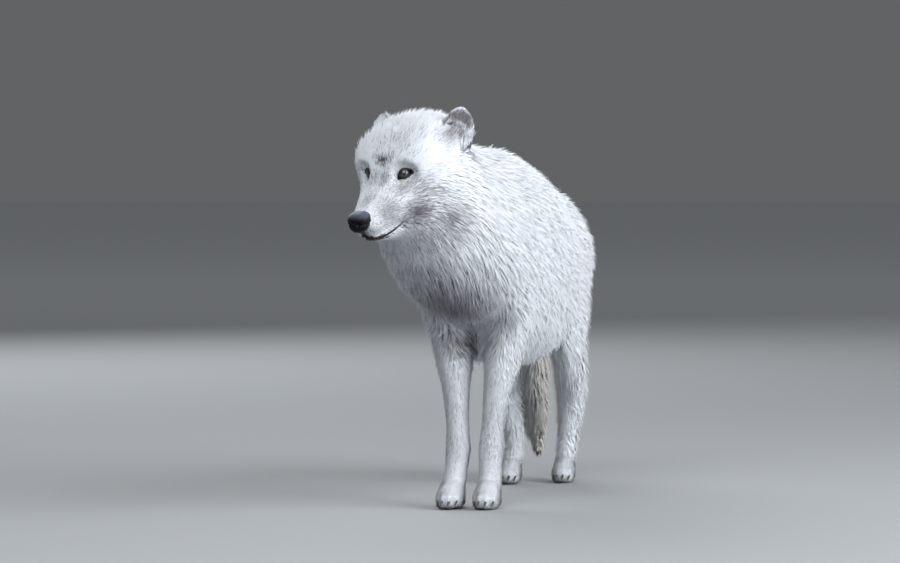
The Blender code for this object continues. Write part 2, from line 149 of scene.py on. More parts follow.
def applied(piece):
    """Turns the piece's modifiers into plain mesh."""
    graph = bpy.context.evaluated_depsgraph_get()
    mesh = bpy.data.meshes.new_from_object(piece.evaluated_get(graph))
    piece.modifiers.clear()
    piece.data = mesh
    return mesh


# %% [markdown]
# ## One skin
#
# A real wolf has no seams, so the carved pieces of flesh become one surface. Each piece is copied,
# its loose triangles are merged, and it is grown by just over half a millimetre so that it
# overlaps its neighbours across the thin cuts. A voxel remesh then makes a single closed skin, and
# a decimate leaves it fine on the face and ears and coarser on the trunk.

# %% Join the flesh
SIDES = "left", "right"
FORELEG_PARTS = "upper_foreleg", "forearm", "fore_pastern"
LEG_PARTS = (*FORELEG_PARTS, "forepaw", "thigh", "shank", "hock", "hind_paw")
TRUNK_PARTS = ["head", "lower_jaw", "neck", "chest", "belly", "rump", "tail"]
FLESH = TRUNK_PARTS + [f"{side}_ear" for side in SIDES]
FLESH += [f"{side}_{part}" for side in SIDES for part in LEG_PARTS]
FLESH_GROWTH = 0.0006
SKIN_GRID = 0.0026
SKIN_TRIANGLES = 150_000


def merged_copy(node, grow):
    bm = bmesh.new()
    bm.from_mesh(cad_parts[node].data)
    bmesh.ops.remove_doubles(bm, verts=bm.verts, dist=1e-5)
    bm.normal_update()
    for v in bm.verts:
        v.co += v.normal * grow
    return mesh_of("copy", bm, smooth=False)


bm = bmesh.new()
for node in FLESH + ["left_eye", "right_eye", "nose"]:
    bm.from_mesh(merged_copy(node, FLESH_GROWTH))
skin = show("skin", mesh_of("skin", bm, smooth=False))
remesh = skin.modifiers.new("one surface", "REMESH")
remesh.mode = "VOXEL"
remesh.voxel_size = SKIN_GRID
applied(skin)


def keep_largest_shell(mesh):
    """Removes the small closed pockets that the remesh leaves inside the body."""
    bm = bmesh.new()
    bm.from_mesh(mesh)
    unseen = set(bm.verts)
    shells = []
    while unseen:
        edge_of_search = [unseen.pop()]
        shell = list(edge_of_search)
        while edge_of_search:
            near = {e.other_vert(v) for v in edge_of_search for e in v.link_edges} & unseen
            unseen -= near
            edge_of_search = list(near)
            shell += edge_of_search
        shells.append(shell)
    shells.sort(key=len)
    pockets = [v for shell in shells[:-1] for v in shell]
    bmesh.ops.delete(bm, geom=pockets, context="VERTS")
    bm.to_mesh(mesh)
    bm.free()
    return len(shells) - 1


print("pockets removed:", keep_largest_shell(skin.data))
print("remeshed skin:", len(skin.data.vertices), "vertices")

# %% Keep it fine where the hair is short
places = in_head(numbers(skin.data.vertices, "co", np.float32, 3))
near_face = 1 - ramp(np.linalg.norm(places - (0, 0.0, -0.02), axis=1), 0.10, 0.16)
near_ears = ramp(places[:, 2], 0.055, 0.085) * (1 - ramp(places[:, 1], 0.2, 0.25))
coarse = skin.vertex_groups.new(name="coarse")
fineness = np.clip(np.maximum(near_face, near_ears), 0, 1)
for step in range(11):
    chosen = np.flatnonzero(np.round(fineness * 10) == step)
    coarse.add(chosen.tolist(), 1 - 0.72 * step / 10, "REPLACE")
thin = skin.modifiers.new("coarser trunk", "DECIMATE")
thin.ratio = SKIN_TRIANGLES / (2 * len(skin.data.polygons))
thin.vertex_group = "coarse"
thin.vertex_group_factor = 0.2
applied(skin)
skin.vertex_groups.clear()
bm = bmesh.new()
bm.from_mesh(skin.data)
bmesh.ops.triangulate(bm, faces=bm.faces)
bmesh.ops.dissolve_degenerate(bm, dist=1e-5, edges=bm.edges)
bmesh.ops.triangulate(bm, faces=bm.faces)
bm.to_mesh(skin.data)
bm.free()
print("thinned skin:", len(skin.data.vertices), "vertices,", len(skin.data.polygons), "triangles")

# %% [markdown]
# ## Fields on the skin
#
# Fur needs to know, at each spot, which way it lies, how long and how wide it is and how deep the
# skin is under its tips. Each carved piece gives one plain answer. Averaging the answers with
# their neighbours a few times turns the jumps between pieces into soft changes.

# %% Neighbours
skin_co = numbers(skin.data.vertices, "co", np.float32, 3).astype(float)
skin_tris = numbers(skin.data.polygons, "vertices", np.int32, 3)
skin_edges = numbers(skin.data.edges, "vertices", np.int32, 2)
edge_a = np.r_[skin_edges[:, 0], skin_edges[:, 1]]
edge_b = np.r_[skin_edges[:, 1], skin_edges[:, 0]]
edge_count = np.maximum(np.bincount(edge_a, minlength=len(skin_co)), 1)


def averaged(field, rounds, share=1.0):
    """The field, moved toward the mean of its neighbours, as often as rounds says."""
    field = np.array(field, float).reshape(len(skin_co), -1)
    for _ in range(rounds):
        for c in range(field.shape[1]):
            mean = np.bincount(edge_a, weights=field[edge_b, c], minlength=len(field))
            field[:, c] += share * (mean / edge_count - field[:, c])
    return field


def relaxed(points, rounds):
    """Points smoothed without shrinking: a step in, then a slightly larger step out."""
    for _ in range(rounds):
        points = averaged(points, 1, 0.55)
        points = averaged(points, 1, -0.57)
    return points


def facing_of(points):
    """Each triangle's normal, twice as long as its area."""
    a, b, c = (points[skin_tris[:, i]] for i in range(3))
    return np.cross(b - a, c - a)


def skin_normals(points):
    facing, total = facing_of(points), np.zeros((len(points), 3))
    for k in range(3):
        for i in range(3):
            total[:, k] += np.bincount(skin_tris[:, i], facing[:, k], len(points))
    return unit(total)


skin_co = relaxed(skin_co, 12)

# %% Which carved piece each spot belongs to
all_points, all_faces, face_owner = [], [], []
for i, node in enumerate(FLESH):
    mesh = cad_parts[node].data
    start = len(all_points)
    all_points += [v.co.copy() for v in mesh.vertices]
    all_faces += [[start + v for v in p.vertices] for p in mesh.polygons]
    face_owner += [i] * len(mesh.polygons)
carved = BVHTree.FromPolygons(all_points, all_faces)
owner = np.array([face_owner[carved.find_nearest(Vector(p))[2]] for p in skin_co])
print("spots on the head:", int((owner == FLESH.index("head")).sum()))

# %% [markdown]
# ## The lie of the coat
#
# Fur grows away from the nose, back over the head, back and down along the neck and trunk, down
# the legs and forward over the toes. The table names, for each part, the way the hair points, the
# depth of the coat over the skin, the hair's length and width, and how far apart its tufts stand.

# %% Coat table
#        part            way of the hair      depth   length  width   spacing
COAT = {
    "lower_jaw": ((0.0, 0.7, -0.7), 0.0030, 0.0105, 0.0009, 0.0024),
    "neck": ((0.10, 0.66, -0.72), 0.0180, 0.0560, 0.0016, 0.0034),
    "chest": ((0.02, 0.82, -0.56), 0.0130, 0.0480, 0.0016, 0.0037),
    "belly": ((0.00, 0.86, -0.50), 0.0130, 0.0480, 0.0016, 0.0037),
    "rump": ((0.00, 0.76, -0.64), 0.0135, 0.0480, 0.0016, 0.0037),
    "tail": ((-0.03, 0.10, -1.0), 0.0160, 0.0560, 0.0013, 0.0034),
    "upper_foreleg": ((0.0, 0.30, -0.95), 0.0080, 0.0270, 0.0015, 0.0033),
    "forearm": ((0.0, 0.12, -1.0), 0.0045, 0.0150, 0.0009, 0.0027),
    "fore_pastern": ((0.0, -0.35, -0.94), 0.0035, 0.0115, 0.0009, 0.0025),
    "forepaw": ((0.0, -0.80, -0.60), 0.0030, 0.0100, 0.0009, 0.0024),
    "thigh": ((0.0, 0.42, -0.90), 0.0120, 0.0440, 0.0016, 0.0037),
    "shank": ((0.0, 0.50, -0.86), 0.0095, 0.0340, 0.0014, 0.0034),
    "hock": ((0.0, 0.05, -1.0), 0.0065, 0.0230, 0.0010, 0.0029),
    "hind_paw": ((0.0, -0.80, -0.60), 0.0030, 0.0100, 0.0009, 0.0024),
}

way = np.zeros_like(skin_co)
depth, length, width, spacing = (np.zeros(len(skin_co)) for _ in range(4))
for i, node in enumerate(FLESH):
    row = COAT.get(node.removeprefix("left_").removeprefix("right_"))
    if row:
        mine = owner == i
        way[mine] = row[0]
        for field, value in zip((depth, length, width, spacing), row[1:]):
            field[mine] = value

# %% The head's own rules
NOSE_TIP = np.array((0, -0.120, -0.050))
head_places = in_head(skin_co)
side = np.where(head_places[:, 0] < 0, -1.0, 1.0)
mirrored = mirror_right(head_places)
from_nose = np.linalg.norm(head_places - NOSE_TIP, axis=1)
from_eye = np.linalg.norm(mirrored - np.array(EYE_MIDDLE), axis=1)

on_head = np.isin(owner, [FLESH.index("head"), FLESH.index("lower_jaw")])
away = unit(head_places - (0, -0.165, -0.055))
cheek = ramp(mirrored[:, 0], 0.035, 0.075) * ramp(head_places[:, 1], -0.01, 0.05)
cheek *= 1 - ramp(head_places[:, 2], 0.0, 0.05)
away[:, 2] -= 0.75 * cheek
throat = ramp(-head_places[:, 2], 0.075, 0.12)
away[:, 2] -= 0.6 * throat
round_eye = unit(mirrored - np.array(EYE_MIDDLE)) * np.exp(-((from_eye / 0.026) ** 2))[:, None]
round_eye[:, 0] *= side
away += 0.7 * round_eye
way[on_head] = turned_from_head(unit(away))[on_head]

low = 1 - ramp(head_places[:, 2], -0.02, 0.05)
head_length = 0.0065 + 0.040 * ramp(from_nose, 0.07, 0.27) * (0.42 + 0.58 * low)
head_length += 0.016 * low * ramp(from_nose, 0.14, 0.24)
head_depth = 0.0018 + 0.28 * (head_length - 0.0065)
near_eye = np.exp(-((np.maximum(from_eye - 0.012, 0) / 0.014) ** 2))
head_length *= 1 - 0.45 * near_eye
head_depth *= 1 - 0.75 * near_eye
before_ear = soft_spot(mirrored, (0.086, 0.098, 0.044), (0.020, 0.042, 0.018))
head_length *= 1 - 0.68 * before_ear
head_depth *= 1 - 0.75 * before_ear
for field, value in (
    (length, head_length),
    (depth, head_depth),
    (width, 0.0008 + 0.020 * (head_length - 0.005)),
    (spacing, 0.0018 + 0.044 * (head_length - 0.006)),
):
    field[on_head] = value[on_head]

# %% Ears
# Each ear's foot, the way it points and the way its opening looks, in the head's frame, then how
# tall it is and how grey inside: grey skin and, on the left only, painted shade in the hollow.
EARS = {
    "left": ((0.086, 0.1335, 0.029), (0.15, 0.38, 0.91), (0.80, -0.60, 0.0), 0.0690, 1.0),
    "right": ((-0.080, 0.128, 0.030), (-0.10, 0.34, 0.93), (-0.08, -0.99, 0.0), 0.0570, 0.0),
}
EAR_HALF_WIDTH = 0.0355
in_ear, skin_heading = np.zeros(len(skin_co)), skin_normals(skin_co)
for name, (foot, up, opening, tall, grey) in EARS.items():
    mine = owner == FLESH.index(f"{name}_ear")
    up = unit(np.array(up))
    opening = unit(np.array(opening) - up * np.dot(opening, up))
    from_foot = head_places - np.array(foot)
    high, wide = from_foot @ up, from_foot @ np.cross(up, opening)
    outward = np.outer(wide / EAR_HALF_WIDTH, np.cross(up, opening))
    inside = ramp(skin_heading @ turned_from_head(opening), 0.0, 0.4)
    rim = np.maximum((wide / EAR_HALF_WIDTH) ** 2, np.maximum(high / tall, 0) ** 2.5)
    outward *= (rim * ramp(high, 0.004, 0.030))[:, None]
    way[mine] = turned_from_head(unit(up + 0.9 * outward))[mine]
    for field, value in ((depth, 0.0012), (length, 0.0095), (width, 0.0009), (spacing, 0.0017)):
        field[mine] = value
    length[mine] += 0.006 * (rim * inside)[mine]
    edge = np.maximum(np.maximum(wide, 0) / EAR_HALF_WIDTH, np.maximum(high / tall, 0) ** 1.6)
    in_ear[mine] = (grey * inside * (1 - ramp(edge, 0.70, 0.84)) * ramp(high, 0.002, 0.012))[mine]

fields = averaged(np.column_stack((way, length, width, spacing)), 14)
way, (length, width, spacing) = fields[:, :3], fields[:, 3:].T
depth = averaged(depth, 30)[:, 0]
print("hair, shortest and longest, mm:", (1000 * np.array((length.min(), length.max()))).round(1))

# %% [markdown]
# ## Press the skin in under the coat
#
# The carved outline is where the hair ends. The skin goes inward from it by the depth of the coat,
# along its own normal, and is relaxed once more so that no facet of the carving is left.

# %% Inset
normals = unit(averaged(skin_normals(skin_co), 3))


def surface_of(points):
    """The skin's triangles with their corners at these points, ready to be searched."""
    return BVHTree.FromPolygons([Vector(p) for p in points], skin_tris.tolist())


def thickness(points, facing, most=0.12):
    """How thick the body is under each spot, straight through, up to a limit."""
    tree = surface_of(points)
    out = np.full(len(points), most)
    for i, (p, n) in enumerate(zip(points, facing)):
        hit = tree.ray_cast(Vector(p - n * 0.0008), Vector(-n), most)
        if hit[0] is not None:
            out[i] = hit[3]
    return out


room = averaged(thickness(skin_co, normals), 4)[:, 0]
depth = averaged(np.minimum(depth, 0.30 * room), 4)[:, 0]
skin_co = skin_co - normals * depth[:, None]
skin_co = relaxed(skin_co, 4)
print("skin box:", np.round((skin_co.min(0), skin_co.max(0)), 3).tolist())

# %% [markdown]
# ## The face
#
# Three things are pressed into the skin of the face. The eyeballs need a hollow under the lids.
# The mouth is a groove that starts under the nose and runs back to its corner, with black lips.
# The nose pad, a piece of its own, needs its seat.

# %% Mouth and eye hollows
MOUTH = np.array(
    (
        (0.0000, -0.1020, -0.0800),
        (0.0080, -0.0900, -0.0875),
        (0.0145, -0.0770, -0.0915),
        (0.0210, -0.0610, -0.0930),
        (0.0285, -0.0440, -0.0890),
        (0.0350, -0.0290, -0.0838),
        (0.0385, -0.0230, -0.0770),
    )
)


def from_line(points, line):
    """How far each point is from a line through a few places."""
    best = np.full(len(points), 9.0)
    for a, b in zip(line[:-1], line[1:]):
        t = np.clip(((points - a) @ (b - a)) / ((b - a) @ (b - a)), 0, 1)
        best = np.minimum(best, np.linalg.norm(points - (a + t[:, None] * (b - a)), axis=1))
    return best


def on_skin(line, steps):
    """The line, laid on the skin of the left side, in the head's frame."""
    tree = surface_of(skin_co)
    share = np.linspace(0, len(line) - 1, steps)
    spots = np.stack([np.interp(share, np.arange(len(line)), line[:, i]) for i in range(3)], -1)
    return in_head([tree.find_nearest(Vector(p))[0] for p in from_head(spots)])


GROOVE_DEPTH, GROOVE_REACH = 0.0032, 0.0030
MOUTH_LINE = on_skin(MOUTH, 24)
places = mirror_right(in_head(skin_co))
lip_distance = from_line(places, MOUTH_LINE)
groove = GROOVE_DEPTH * np.exp(-((lip_distance / GROOVE_REACH) ** 2))
normals = skin_normals(skin_co)
skin_co = skin_co - normals * groove[:, None]

# The seat of the nose pad: skin inside the pad is drawn deeper into it.
NOSE_MIDDLE = np.array((0, -0.1050, -0.0502))
NOSE_REACH = np.array((0.0214, 0.0210, 0.0196))
inside = (in_head(skin_co) - NOSE_MIDDLE) / NOSE_REACH
reach = np.linalg.norm(inside, axis=1)
sunk = inside * (1 - 0.34 * (1 - ramp(reach, 0.98, 1.22)))[:, None]
skin_co = np.where((reach < 1.22)[:, None], from_head(sunk * NOSE_REACH + NOSE_MIDDLE), skin_co)

EYE_ACROSS = Vector((0.029, 0.020, 0.0100)).normalized()  # from the inner corner to the outer
EYE_ACROSS = (EYE_ACROSS - EYE_LOOK * EYE_ACROSS.dot(EYE_LOOK)).normalized()
EYE_ABOVE = EYE_LOOK.cross(EYE_ACROSS).normalized()
eye_axes = np.array((EYE_ACROSS, EYE_ABOVE, EYE_LOOK))


def in_eye(points):
    """Head places, right side laid over the left, seen from the eye: across, above, ahead."""
    return (mirror_right(points) - np.array(EYE_MIDDLE)) @ eye_axes.T


def rim_distance(points):
    """1 at the outer edge of the black rim round the eye, less inside it and more outside."""
    seen = in_eye(in_head(points))
    droop = 0.0042 * np.abs(seen[:, 0] / 0.018) ** 3
    share = np.hypot((seen[:, 0] + 0.001) / 0.0195, (seen[:, 1] + droop) / 0.0096)
    return np.where((seen[:, 2] > 0) & (seen[:, 2] < 0.04), share, 9.0)


seen = in_eye(in_head(skin_co))
off = np.hypot(seen[:, 0], seen[:, 1])
hollow = (1 - ramp(rim_distance(skin_co), 0.74, 1.02)) * (seen[:, 2] < 0.03)
wanted = np.sqrt(np.maximum(EYE_RADIUS**2 - off**2, 0)) - 0.0035
wanted = np.maximum(wanted, EYE_RADIUS - 0.0085)
push = np.maximum(seen[:, 2] - wanted, 0) * hollow
flip = np.stack((np.sign(in_head(skin_co)[:, 0]), *np.ones((2, len(skin_co)))), -1)
look_side = turned_from_head(flip * np.array(EYE_LOOK))
skin_co = skin_co - look_side * push[:, None]

skin.data.vertices.foreach_set("co", skin_co.astype(np.float32).ravel())
skin.data.polygons.foreach_set("use_smooth", np.ones(len(skin.data.polygons), bool))
skin.data.update()
skin_normal = unit(averaged(skin_normals(skin_co), 2))

# %% [markdown]
# ## Markings and painted shade
#
# The coat is white with a faint blue cast. Grey guard hairs show on the brow, round the eyes, along
# the muzzle, on the cheeks and the withers and on the fronts of the forelegs, and a warm cream on
# the rump, the tail and inside the hind legs. Painted shade is mixed in with them. The grey along
# the muzzle and on the cheeks is partly painted shade. The grey behind the mouth and on the ruff
# under the cheeks is painted shade. The grey of the throat and breast is a painted shadow under the
# head, with some dirt. A dark painted shadow runs along the foot of the left ear's opening. The
# left ear's hollow is partly painted shade. The cream low on the tail and inside the hind legs is
# partly painted shade between the legs. One function says how much of each colour there is at any
# place, and both the skin and the hair ask it, so they always agree.

# %% Where the colours are
# In the head's frame: middle, reach, grey, black. The left side stands for both, and the right
# side is much paler. Some spots are painted shade, as noted beside them.
FACE_MARKS_AND_SHADE = (
    ((0.004, 0.001, 0.029), (0.0090, 0.009, 0.009), 0.70, 0.95),  # flecks between the brows
    ((0.018, 0.005, 0.037), (0.008, 0.009, 0.006), 0.40, 0.30),
    ((0.034, 0.007, 0.031), (0.012, 0.007, 0.006), 0.26, 0.08),  # over the eye
    ((0.012, -0.020, 0.002), (0.013, 0.024, 0.014), 0.45, 0.12),
    ((0.036, -0.008, 0.000), (0.026, 0.026, 0.018), 0.26, 0.04),  # round the eye
    ((0.031, -0.052, -0.045), (0.018, 0.040, 0.024), 0.92, 0.10),  # side of the muzzle: grey flecks, partly painted shade
    ((0.020, -0.083, -0.066), (0.016, 0.022, 0.016), 0.40, 0.16),  # upper lip
    ((0.000, -0.070, -0.022), (0.014, 0.040, 0.012), 0.52, 0.05),  # bridge
    ((0.000, -0.104, -0.071), (0.010, 0.010, 0.008), 0.90, 0.95),  # under the nose
    ((0.044, -0.016, -0.018), (0.026, 0.028, 0.015), 0.80, 0.06),  # under the eye
    ((0.074, 0.012, -0.034), (0.026, 0.034, 0.024), 0.78, 0.08),  # cheek: grey flecks, partly painted shade
    ((0.062, -0.006, -0.064), (0.028, 0.030, 0.024), 1.00, 0.34),  # painted shade behind the mouth, under the cheek
    ((0.068, 0.012, -0.106), (0.032, 0.036, 0.034), 0.60, 0.02),  # painted shade on the ruff under the cheek
    # painted shade further back under the cheek
    ((0.088, 0.042, -0.088), (0.032, 0.038, 0.032), 0.92, 0.02),
    ((0.030, 0.045, 0.055), (0.032, 0.036, 0.022), 0.22, 0.06),  # forehead
    ((0.082, 0.116, 0.048), (0.016, 0.042, 0.018), 1.00, 0.22),  # foot of the ear
    ((0.077, 0.139, 0.066), (0.013, 0.018, 0.016), 1.00, 0.42),
    ((0.000, -0.090, -0.095), (0.020, 0.018, 0.008), 0.60, 0.90),  # chin
)
# A painted shadow runs as a dark line along the lower edge of the left ear's opening, and is
# mirrored on the right.
EAR_FOLD_SHADOW = (
    (0.0898, 0.0693, 0.0414),
    (0.0857, 0.1025, 0.0422),
    (0.0785, 0.1250, 0.0380),
    (0.0792, 0.1400, 0.0375),
)
FOLD_SHADOW_REACH = 0.0028
WITHERS = (middle("neck") + middle("chest")) / 2


def markings_and_painted_light(points):
    """How much grey, cream and black the coat has at each place, from 0 to 1, with painted shade.
    """
    face = mirror_right(in_head(points))
    grey, cream, black = (np.zeros(len(points)) for _ in range(3))
    right = ramp(-in_head(points)[:, 0], 0.01, 0.03)  # the right side is paler
    for centre, reach, some_grey, some_black in FACE_MARKS_AND_SHADE:
        spot = soft_spot(face, centre, reach) * (1 - 0.85 * right)
        grey = np.maximum(grey, some_grey * spot)
        black = np.maximum(black, some_black * spot)
    # Painted shadow under the head on the throat and breast, with some dirt: grey and a little
    # black.
    breast = middle("neck")
    shade = soft_spot(points, (breast.x, breast.y - 0.08, 0.44), (0.080, 0.12, 0.095))
    shade = np.maximum(shade, soft_spot(points, (breast.x, -0.21, 0.355), (0.036, 0.08, 0.036)))
    grey, black = grey + shade, np.maximum(black, 0.16 * shade)
    grey += 0.16 * soft_spot(points, (WITHERS.x + 0.04, WITHERS.y, 0.70), (0.03, 0.05, 0.03))
    wrists = np.maximum(
        *(
            soft_spot(points, (middle(n).x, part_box(n)[0].y, 0.16), (0.03, 0.05, 0.07))
            for n in ("left_forearm", "right_forearm")
        )
    )
    grey += 0.20 * wrists
    behind, high = points[:, 1], points[:, 2]
    tail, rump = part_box("tail")[0].y, middle("rump")
    # Low on the tail the cream is partly the coat's own and partly painted shade between the hind
    # legs.
    cream += 0.55 * ramp(behind, tail - 0.06, tail + 0.05) * ramp(-high, -0.6, -0.4)
    cream += 0.28 * ramp(behind, rump.y - 0.05, rump.y + 0.1) * ramp(high, 0.5, 0.6)
    # Inside the hind legs the cream is partly the coat's own and partly painted shade between the
    # legs.
    inner = 1 - ramp(np.abs(points[:, 0] - rump.x), 0.015, 0.05)
    cream += 0.40 * inner * ramp(behind, 0.15, 0.3) * (1 - ramp(high, 0.3, 0.42))
    lips = from_line(face, MOUTH_LINE)
    lip_width = 0.0030 + 0.0036 * (1 - ramp(face[:, 1], -0.075, -0.045))
    black = np.maximum(black, 1 - ramp(lips, lip_width, lip_width + 0.0014))
    # painted shadow at the foot of the ear's opening
    fold_shadow = from_line(face, np.array(EAR_FOLD_SHADOW))
    black = np.maximum(black, 0.80 * np.exp(-((fold_shadow / FOLD_SHADOW_REACH) ** 2)))
    black = np.maximum(black, 1 - ramp(rim_distance(points), 0.97, 1.06))
    return np.clip(np.stack((grey, cream, black), -1), 0, 1)


# %% [markdown]
# ## Materials
#
# Hair is a pale, slightly glossy fibre. Its colour is mixed from the markings and painted shade and
# from two numbers that each lock carries: how far along it a spot is, and how light that lock is.
# Tips are a little darker than roots: painted light at the roots, against the shade deep in the
# coat. The skin has the same markings and painted shade, mottled and with fine bumps.

# %% Colours
WHITE_HAIR = (0.860, 0.885, 0.940)
GREY_HAIR = (0.235, 0.232, 0.250)
CREAM_HAIR = (0.66, 0.60, 0.50)
BLACK_HAIR = (0.022, 0.020, 0.022)
ROOT_PAINTED_LIGHT, TONE_RANGE = 0.14, 0.10  # painted light toward the root along a lock, and tone between locks


def node(tree, kind, **settings):
    """A new node. A setting is the value of a socket, or else a property."""
    new = tree.nodes.new(kind)
    for key, value in settings.items():
        socket = key.replace("_", " ")
        if socket in new.inputs:
            new.inputs[socket].default_value = value
        else:
            setattr(new, key, value)
    return new


def feed(tree, socket, value):
    """Gives a socket another socket's output, or a plain value or colour."""
    if isinstance(value, bpy.types.NodeSocket):
        tree.links.new(value, socket)
    else:
        socket.default_value = (*value, 1) if isinstance(value, tuple) else value


def mixed(tree, share, a, b, blend="MIX"):
    """A colour mix. Each of share, a and b is a socket or a plain value."""
    new = node(tree, "ShaderNodeMix", data_type="RGBA", blend_type=blend)
    for which, value in ((0, share), (6, a), (7, b)):
        feed(tree, new.inputs[which], value)
    return new.outputs[2]


def maths(tree, kind, *values):
    new = node(tree, "ShaderNodeMath", operation=kind)
    for socket, value in zip(new.inputs, values):
        feed(tree, socket, value)
    return new.outputs[0]


def vector_maths(tree, kind, vector):
    new = node(tree, "ShaderNodeVectorMath", operation=kind)
    tree.links.new(vector, new.inputs[0])
    return new


def stored(tree, name):
    """The three numbers that write_colour stores under a name."""
    layer = node(tree, "ShaderNodeAttribute", attribute_name=name)
    parts = node(tree, "ShaderNodeSeparateColor")
    tree.links.new(layer.outputs["Color"], parts.inputs[0])
    return parts.outputs


def grey_of(tree, value):
    """A grey that is as bright as a value's socket says."""
    grey = node(tree, "ShaderNodeCombineColor")
    for socket in grey.inputs:
        tree.links.new(value, socket)
    return grey.outputs[0]


def on_object(tree, kind, **settings):
    """A texture that reads Object coordinates."""
    where = node(tree, "ShaderNodeTexCoord")
    texture = node(tree, kind, **settings)
    tree.links.new(where.outputs["Object"], texture.inputs["Vector"])
    return texture


def bumped(tree, shader, height, **settings):
    bump = node(tree, "ShaderNodeBump", **settings)
    tree.links.new(height, bump.inputs["Height"])
    tree.links.new(bump.outputs["Normal"], shader.inputs["Normal"])


def new_material(name, **sockets):
    mat = bpy.data.materials.new(name)
    mat.use_nodes = True
    shader = mat.node_tree.nodes["Principled BSDF"]
    for key, value in sockets.items():
        shader.inputs[key.replace("_", " ")].default_value = value
    return mat, mat.node_tree, shader


def coat_colour(tree, strand=True):
    """White, cream, grey and black mixed by the markings and painted shade, then shaded along each
    lock, with the root painted lighter against the shade deep in the coat.
    """
    grey, cream, black = stored(tree, "markings_and_painted_light")
    colour = mixed(tree, cream, WHITE_HAIR, CREAM_HAIR)
    colour = mixed(tree, grey, colour, GREY_HAIR)
    colour = mixed(tree, black, colour, BLACK_HAIR)
    if strand:
        along, tone, _ = stored(tree, "strand")
        # Painted light: roots lighter than tips, against the shade deep in the coat.
        along = maths(tree, "MULTIPLY_ADD", along, -ROOT_PAINTED_LIGHT, 1.0)
        tone = maths(tree, "MULTIPLY_ADD", tone, TONE_RANGE, 1 - TONE_RANGE)
        light = maths(tree, "MULTIPLY", along, tone)
        colour = mixed(tree, 1.0, colour, grey_of(tree, light), "MULTIPLY")
    return colour


hair_finish, tree, shader = new_material(
    "wolf hair", Roughness=0.6, Specular_IOR_Level=0.3, Sheen_Weight=0.15
)
tree.links.new(coat_colour(tree), shader.inputs["Base Color"])

skin_finish, tree, shader = new_material(
    "skin under the hair", Roughness=0.8, Specular_IOR_Level=0.2
)
fuzz = on_object(tree, "ShaderNodeTexNoise", Scale=900.0, Detail=3.0)
bumped(tree, shader, fuzz.outputs["Fac"], Strength=0.6, Distance=0.0006)
shade = node(tree, "ShaderNodeMapRange", To_Min=0.62, To_Max=0.92)
tree.links.new(fuzz.outputs["Fac"], shade.inputs["Value"])
grey = grey_of(tree, shade.outputs[0])
shaded = mixed(tree, 1.0, coat_colour(tree, strand=False), grey, "MULTIPLY")
tree.links.new(shaded, shader.inputs["Base Color"])

skin.data.materials.clear()
skin.data.materials.append(skin_finish)


def write_colour(mesh, name, rows):
    """Stores three numbers for each vertex, which a material can read."""
    layer = mesh.attributes.new(name, "FLOAT_COLOR", "POINT")
    colours = np.column_stack((rows, np.ones(len(rows))))
    layer.data.foreach_set("color", colours.astype("f").ravel())


skin_marks_and_shade = markings_and_painted_light(skin_co)
# The ears' insides are grey and a little black: grey skin, and on the left painted shade in the
# hollow.
ear_grey = averaged(in_ear, 3)[:, 0]
skin_marks_and_shade[:, 0] = np.maximum(skin_marks_and_shade[:, 0], ear_grey)
skin_marks_and_shade[:, 2] = np.maximum(skin_marks_and_shade[:, 2], 0.25 * ear_grey)
write_colour(skin.data, "markings_and_painted_light", skin_marks_and_shade)

# %% [markdown]
# ## Locks of hair
#
# Single hairs would need millions of faces, so the coat is made of small locks. Each lock is a
# closed leaf of four points: it starts in the skin, is widest where it bends over in its middle
# and ends in a point. Locks stand in tufts, and neighbouring tufts lean together into
# clumps, as real fur does. Arrays hold thousands of locks at once, which become one mesh for each
# region of the body.

# %% Spread roots evenly
def search_tree(points):
    tree = kdtree.KDTree(len(points))
    for i, p in enumerate(points):
        tree.insert(p, i)
    tree.balance()
    return tree


def spread(points, reach, order):
    """Picks points, in the given order, so that no two are nearer than their reach."""
    tree = search_tree(points)
    alive = np.ones(len(points), bool)
    chosen = []
    for i in order:
        if alive[i]:
            chosen.append(i)
            for _, j, _ in tree.find_range(points[i], reach[i]):
                alive[j] = False
    return np.array(chosen)


skin_fields = {
    "place": skin_co,
    "up": skin_normal,
    "way": way,
    "depth": depth[:, None],
    "length": length[:, None],
    "width": width[:, None],
    "spacing": spacing[:, None],
    "marks_and_shade": skin_marks_and_shade,
    "from_lips": lip_distance[:, None],
    "in_ear": ear_grey[:, None],
}
skin_surface = surface_of(skin_co)


def nearest_on_skin(points):
    """The nearest places on the skin, with the skin's normal and the hair's way there."""
    found = [skin_surface.find_nearest(Vector(p)) for p in points]
    place = np.array([f[0] for f in found])
    spots = skin_tris[[f[2] for f in found]]
    up = unit(skin_normal[spots].mean(1))
    ahead = way[spots].mean(1)
    return place, up, unit(ahead - up * dot(ahead, up))


face_area = np.linalg.norm(facing_of(skin_co), axis=1) / 2


def unwrapped(faces):
    """An unwrap of these faces of the skin: for each face, the map places of its corners."""
    used, tris = np.unique(skin_tris[faces], return_inverse=True)
    mesh = bpy.data.meshes.new("unwrap")
    mesh.from_pydata(skin_co[used].tolist(), [], tris.reshape(-1, 3).tolist())
    piece = show("unwrap", mesh)
    bpy.context.view_layer.objects.active = piece
    piece.select_set(True)
    bpy.ops.object.mode_set(mode="EDIT")
    bpy.ops.mesh.select_all(action="SELECT")
    bpy.ops.uv.smart_project(angle_limit=math.radians(66), island_margin=0.004)
    bpy.ops.object.mode_set(mode="OBJECT")
    uv = numbers(mesh.uv_layers.active.data, "uv", np.float32, 2).reshape(-1, 3, 2)
    bpy.data.objects.remove(piece)
    return uv


